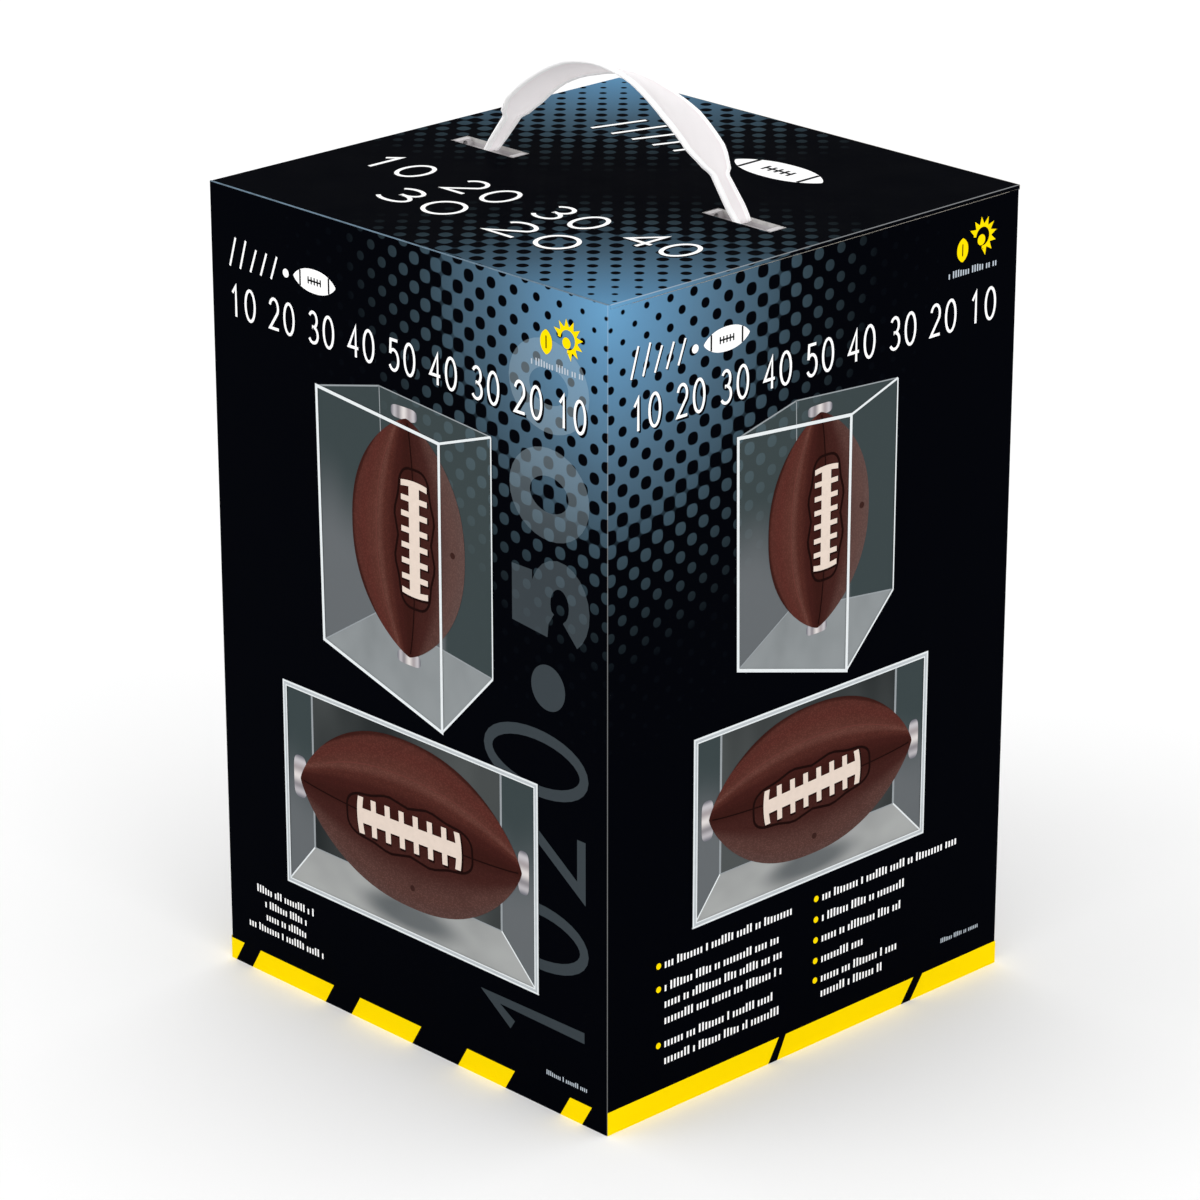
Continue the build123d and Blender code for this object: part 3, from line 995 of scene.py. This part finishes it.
def draw_badge(ink, centre, caption):
    """A yellow sun with a small ball beside it, over a line of small print."""
    u, v = centre
    hub = (u + 4.2, v + 0.6)
    ink.stroke(arc(hub, (4.1, 4.1), -95, 175, 30), 1.3, 2, YELLOW_INK)
    for index in range(9):
        angle = math.radians(-78 + index * 29)
        rays = ((4.5, angle - 0.26), (7.4, angle), (4.5, angle + 0.26))
        ray = [(hub[0] + reach * math.cos(a), hub[1] + reach * math.sin(a)) for reach, a in rays]
        ink.fill(ray, 2, YELLOW_INK)
    small = [(u - 6.2 + 2.9 * across, v - 2.4 + 4.4 * along) for across, along in ball_outline(16)]
    ink.fill(small, 2, YELLOW_INK)
    ink.stroke([(u - 6.2, v - 4.6), (u - 6.2, v - 0.2)], 0.5, 3, SHADOW_INK)
    ink.fill(disc((u + 3.6, v - 0.6), 2.0), 2, YELLOW_INK)
    greeked_line(ink, *caption, 2.6, 2, CAPTION_INK, 3)


def draw_pictures(face, standing, lying):
    """A face's two pictures, from the places of what each of them shows."""
    art = {"upright_picture": Ink(face), "lying_picture": Ink(face)}
    draw_upright(art["upright_picture"], *standing)
    draw_lying(art["lying_picture"], *lying)
    return art


def long_face_art():
    """The front and back faces' pictures, numerals, motif and stripes."""
    veil = Ink("long")
    numerals(veil, "1020", (142, 194.4, 20, 144), 0.3, 4.2, 0.5, VEIL, turned=True)
    veil.fill(disc((174.6, 160.6), 8.4, 40), 0.5, VEIL)
    numerals(veil, "500", (156, 195, 176, 286), 0.16, 10.0, 0.5, VEIL, turned=True)

    words = Ink("long")
    draw_mark(words, (10, 68, 275, 286))
    draw_title(words, TITLE, (10.4, 193.6, 256, 268.4), 1.08)
    draw_badge(words, (180.6, 287.2), (167, 194, 276.8))
    lines = ((34.2, 16.4, 50.4, 0), (29.0, 20.8, 46.4, 3), (23.8, 21.4, 45.6, 5), (18.6, 11.4, 55.6, 1))
    for v, u0, u1, seed in lines:
        greeked_line(words, u0, u1, v, 3.0, 1, WHITE_INK, seed)
    greeked_line(words, 173, 194.4, 14.2, 1.9, 1, CAPTION_INK, 2)
    slant = 5.0
    for u0, u1 in ((-5.0, 3.0), (12.4, 54.0), (68.6, 102.0), (126.6, 151.6), (180.0, 191.0)):
        stripe = [(max(u0, 0.5), 0.0), (u1, 0.0), (u1 + slant, 8.4), (max(u0 + slant, 0.5), 8.4)]
        words.fill(stripe, 1, YELLOW_INK)

    standing = (
        ((56.8, 241.2), (120.6, 235.4), (147, 244.4), (90, 249)),
        ((58.2, 145.6), (120.6, 128), (147, 155.8), (87, 164)),
        (74.6, 133.2, 151.6, 240.4),
        (100.7, 114.1, 175.0, 218.2),
        ((96, 109.4, 239.6, 244.4), (97.4, 109.6, 148.6, 153.4)),
        (127, 196),
    )
    lying = (
        (34.4, 169.4, 42.8, 123.4),
        (50.2, 150.4, 61.2),
        (43, 161, 54.4, 119),
        (74.2, 130.0, 76.4, 90.8),
        ((39.4, 46.4, 79, 95.6), (159, 164.6, 79, 95.6)),
        (103.6, 62.4),
    )
    return {"motif": veil, "numerals": words, **draw_pictures("long", standing, lying)}


def side_face_art():
    """The left and right faces' pictures, numerals, small print and band."""
    words = Ink("side")
    draw_mark(words, (10, 67, 276, 287))
    draw_title(words, TITLE, (11, 192.6, 256.8, 269.4), 1.08)
    draw_badge(words, (180.2, 288.4), (167, 193.4, 278))
    left = ((57.4, 93.2, 1), (48.4, 86.4, 1), (42, 88, 0), (35.6, 88.8, 0), (26.6, 84, 1), (20, 88, 0))
    right = ((57.8, 182.2, 1), (49.6, 154.8, 1), (41.4, 151.2, 1))
    right += ((33.2, 132, 1), (25.4, 149.4, 1), (19.4, 142.4, 0))
    for bullet, start, lines in ((25.2, 28.2, left), (104.8, 108.0, right)):
        for index, (v, end, dotted) in enumerate(lines):
            greeked_line(words, start, end, v, 3.3, 1, WHITE_INK, index * 2 + 1)
            if dotted:
                words.fill(disc((bullet, v), 1.2, 16), 1, YELLOW_INK)
    greeked_line(words, 172.6, 193.6, 19, 1.9, 1, CAPTION_INK, 4)
    band = 9.0
    stripes = ((0.4, 0.4, 81.0, 86.4), (85.6, 90.0, 151.4, 158.0), (156.4, 163.0, 203.6, 203.6))
    for foot, top, next_foot, next_top in stripes:
        words.fill([(foot, 0.0), (next_foot, 0.0), (next_top, band), (top, band)], 1, YELLOW_INK)

    standing = (
        ((61.8, 243.2), (118, 238.4), (141.6, 246.4), (90.4, 250)),
        ((63, 158), (118, 142.6), (141.6, 167.2), (88.4, 173.4)),
        (77.4, 128, 163, 243),
        (100.2, 111.8, 184.2, 222.8),
        ((96.2, 108.4, 242, 246), (97.2, 107.6, 161.0, 165.4)),
        (124.4, 203.4),
    )
    lying = (
        (41.6, 161.2, 66.4, 138.2),
        (55.2, 144.4, 83.2),
        (49.4, 153.6, 76.6, 134.4),
        (76.6, 126.4, 96.0, 109.2),
        ((45.8, 51.6, 98, 113.2), (152.0, 157, 98, 113.2)),
        (103, 83.2),
    )
    return {"numerals": words, **draw_pictures("side", standing, lying)}


def lid_art():
    """The lid's numerals in two rows, and its mark."""
    words = Ink("lid")
    draw_title(words, "10 20 30 40", (19, 183, 52.6, 69.6), 1.7)
    draw_title(words, "30 20", (53.6, 149, 29, 46), 1.7)
    draw_mark(words, (43, 154, 146, 168))
    return words


# ---- handle


STRAP_THICKNESS = 1.6
WEB_THICKNESS = 0.9
GRIP_WIDTH = 19.5
SHOULDER_WIDTH = 14.0
SHOULDER = (13.5, 17.4)  # from the slot's middle along X, and above the pivot axis
APEX_HEIGHT = 43.2  # above the pivot axis
PIVOT_DEPTH = 1.6  # below the lid's top face
LEG_SHARES = (0.025, 0.08, 0.16, 0.24, 0.32, 0.4, 0.5, 0.6, 0.7, 0.78, 0.86, 0.91, 0.96)
ARCH_STEPS = 20
# Places along the strap from foot (0) over the shoulder (1) to the apex (2), the width
# there, and how many degrees each half leans, far edge down.
WIDTH_PLACES = (0.0, 0.3, 0.86, 0.92, 1.0, 1.13, 2.0)
WIDTHS = (7.4, 9.0, 9.0, 10.0, SHOULDER_WIDTH, GRIP_WIDTH, GRIP_WIDTH)
LEAN_PLACES = (0.0, 0.2, 0.46, 0.86, 1.0, 1.14, 1.4, 1.7, 2.0)
LEANS = {-1: (0, 0, 3, 9, 12, 14, 16, 24, 22), 1: (0, 0, 5, 13, 14, 8, 7, 19, 22)}


def between(value, places, values):
    """Read a value off a line through the points given."""
    index = next((i for i, place in enumerate(places[1:]) if value <= place), None)
    if index is None:
        return values[-1]
    share = (value - places[index]) / (places[index + 1] - places[index])
    return values[index] + share * (values[index + 1] - values[index])


def strap_line(side):
    """Stations (point, width, lean) from a slot, on side -1 or 1, to the arch's middle."""
    pivot_z = HEIGHT - PIVOT_DEPTH
    foot = Vector((-SLOT_X, 0, pivot_z))
    shoulder = foot + Vector((SHOULDER[0], 0, SHOULDER[1]))
    apex = Vector((0, 0, pivot_z + APEX_HEIGHT))
    leg = (shoulder - foot).normalized()
    chord = (apex - shoulder).length
    places = [(foot.lerp(shoulder, share), share) for share in LEG_SHARES]
    for step in range(ARCH_STEPS + 1):
        t = step / ARCH_STEPS
        point = shoulder * (2 * t**3 - 3 * t**2 + 1) + leg * (chord * (t**3 - 2 * t**2 + t))
        point = point + apex * (3 * t**2 - 2 * t**3) + Vector((1, 0, 0)) * (chord * (t**3 - t**2))
        places.append((point, 1 + t))
    stations = []
    for point, place in places:
        width = between(place, WIDTH_PLACES, WIDTHS)
        lean = between(place, LEAN_PLACES, LEANS[side])
        stations.append((Vector((-side * point.x, 0, point.z)), width, lean))
    return stations


def carry_strap():
    """The carry strap: one moulded ribbon with a raised rim along each edge."""
    whole = strap_line(-1) + strap_line(1)[-2::-1]
    thick, web = STRAP_THICKNESS / 2, WEB_THICKNESS / 2
    rings, picture = [], []
    for index, (point, width, lean) in enumerate(whole):
        turn = math.radians(-lean)
        across = Vector((0, math.cos(turn), math.sin(turn)))
        along = (whole[min(index + 1, len(whole) - 1)][0] - whole[max(index - 1, 0)][0]).normalized()
        along = (along - across * along.dot(across)).normalized()
        normal = along.cross(across)
        edge = width / 2
        # Half of the upper side, from the middle out: across, up, and 1 on the rim.
        half = [(0.0, web, 0.0), (edge - 2.3, web, 0.0), (edge - 1.8, thick, 1.0)]
        half += [(edge - 0.45, thick, 1.0), (edge - 0.12, thick * 0.7, 1.0), (edge, 0.0, 1.0)]
        upper = half[::-1] + [(-a, t, r) for a, t, r in half[1:]]
        section = upper + [(a, -t, r) for a, t, r in reversed(upper[1:-1])]
        rings.append([point + across * a + normal * t for a, t, _ in section])
        picture += [(r, 0.0, 0.0) for _, _, r in section]
    strap = add_mesh("carry_strap", *loft(rings), [strap_material()], None, picture)
    for polygon in strap.data.polygons:
        polygon.use_smooth = len(polygon.vertices) == 4
    return strap


# ---- the object


def build_boards():
    """The carton's walls, lid and dust flaps."""
    settle(long_wall("front_wall", HEIGHT), "carton", "front_panel")
    settle(long_wall("back_wall", cad_box("back_panel")[1].z), "carton", "back_panel", turned=True)
    top = cad_box("right_panel")[1].z + FLAP_FILL
    tops = (top - SHOULDER_DROP, top)
    (_, start, _), (_, end, _) = cad_box("dust_flap_right")
    start, end = start - NOTCH_GAP, end + NOTCH_GAP
    settle(side_wall("right_wall", (start, end), tops), "carton", "right_panel")
    settle(side_wall("left_wall", (-end, -start), tops), "carton", "left_panel", turned=True)
    settle(lid_board(), "lid", "lid_panel")
    for side, name in ((1, "right"), (-1, "left")):
        settle(dust_board(side, name), f"dust_{name}", f"dust_flap_{name}", turned=side < 0)
    settle(lid_crease(), "carton", turned=True)
    tuck_crease()
    dust_crease(-1, "left")
    dust_crease(1, "right")


def build_print():
    """The ink on each face; opposite faces carry the same art."""
    for names, art in ((("front", "back"), long_face_art()), (("right", "left"), side_face_art())):
        for part, ink in art.items():
            piece = ink.piece(f"{names[0]}_{part}")
            settle(piece, "carton")
            settle(link(f"{names[1]}_{part}", piece.data), "carton", turned=True)
    settle(lid_art().piece("lid_numerals"), "lid")


def build_handle():
    """The carry strap, its feet in the slots and its arch above them."""
    strap = carry_strap()
    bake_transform(strap)
    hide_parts("handle_strap")


def finish_nodes():
    """Materials of the CAD nodes that stay in view."""
    foam = foam_material()
    acrylic = [acrylic_material(axis) for axis in range(3)]
    thin = {"left": 0, "right": 0, "front": 1, "back": 1, "top": 2, "bottom": 2}
    kinds = {
        "handle_anchor": anchor_material(),
        "corner_pad_front": foam,
        "corner_pad_back": foam,
        "cradle_cup": acrylic[2],
    }
    for name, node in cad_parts.items():
        group, _, place = name.rpartition("_")
        sheet = group in ("cover", "tray")
        node.data.materials.clear()
        node.data.materials.append(acrylic[thin[place]] if sheet else kinds.get(group, BOARD_INSIDE))


# ---- stage and camera


FLOOR_HALF = 30.0  # metres
# Name, place, size and power of each lamp.
LAMPS = (("key", (-1.6, -2.6, 2.6), 2.2, 16), ("fill", (2.8, -0.4, 2.0), 2.2, 12))
CAMERA_ANGLES = (45.94, 21.15)  # azimuth and elevation in degrees
CAMERA_AIM = (0, 0, 0.152)
CAMERA_DISTANCE = 1.762
CAMERA_OFFSET = (0.0049, 0.0062)  # to the left and down, in metres
LENS = 144.5


def build_stage():
    """A pale floor under soft light from all round."""
    corners = [(x, y, 0) for x, y in rectangle(-FLOOR_HALF, FLOOR_HALF, -FLOOR_HALF, FLOOR_HALF)]
    mesh = bpy.data.meshes.new("floor")
    mesh.from_pydata(corners, [], [(0, 1, 2, 3)])
    shader = Shader("floor")
    pale = shader.mix(shader.noise(0.4), srgb(250, 250, 250), srgb(252, 252, 252))
    mesh.materials.append(shader.surface(pale, 0.9, gloss=0.0))
    floor = link("floor", mesh)

    world = bpy.data.worlds.new("studio")
    bpy.context.scene.world = world
    world.use_nodes = True
    backdrop = world.node_tree.nodes["Background"].inputs
    backdrop["Color"].default_value = (1, 1, 1, 1)
    backdrop["Strength"].default_value = 1.04

    for name, place, size, power in LAMPS:
        lamp = bpy.data.lights.new(name, "AREA")
        lamp.size = size
        lamp.energy = power
        light = link(name, lamp)
        light.location = place
        light.rotation_euler = (Vector((0, 0, 0.15)) - Vector(place)).to_track_quat("-Z", "Y").to_euler()


def build_camera():
    """The photograph's view: a long lens, looking down a little at the front corner."""
    azimuth, elevation = (math.radians(angle) for angle in CAMERA_ANGLES)
    right = Vector((math.cos(azimuth), math.sin(azimuth), 0))
    level = Vector((math.sin(azimuth), -math.cos(azimuth), 0))
    back = level * math.cos(elevation) + Vector((0, 0, math.sin(elevation)))
    up = back.cross(right)
    data = bpy.data.cameras.new("camera")
    data.lens = LENS
    data.sensor_width = 36.0
    camera = link("camera", data)
    aim = Vector(CAMERA_AIM) + back * CAMERA_DISTANCE
    camera.location = aim - right * CAMERA_OFFSET[0] - up * CAMERA_OFFSET[1]
    camera.rotation_mode = "QUATERNION"
    camera.rotation_quaternion = (-back).to_track_quat("-Z", "Y")
    bpy.context.scene.camera = camera


bpy.context.scene.view_settings.view_transform = "Standard"
build_boards()
build_print()
build_handle()
finish_nodes()
build_stage()
build_camera()
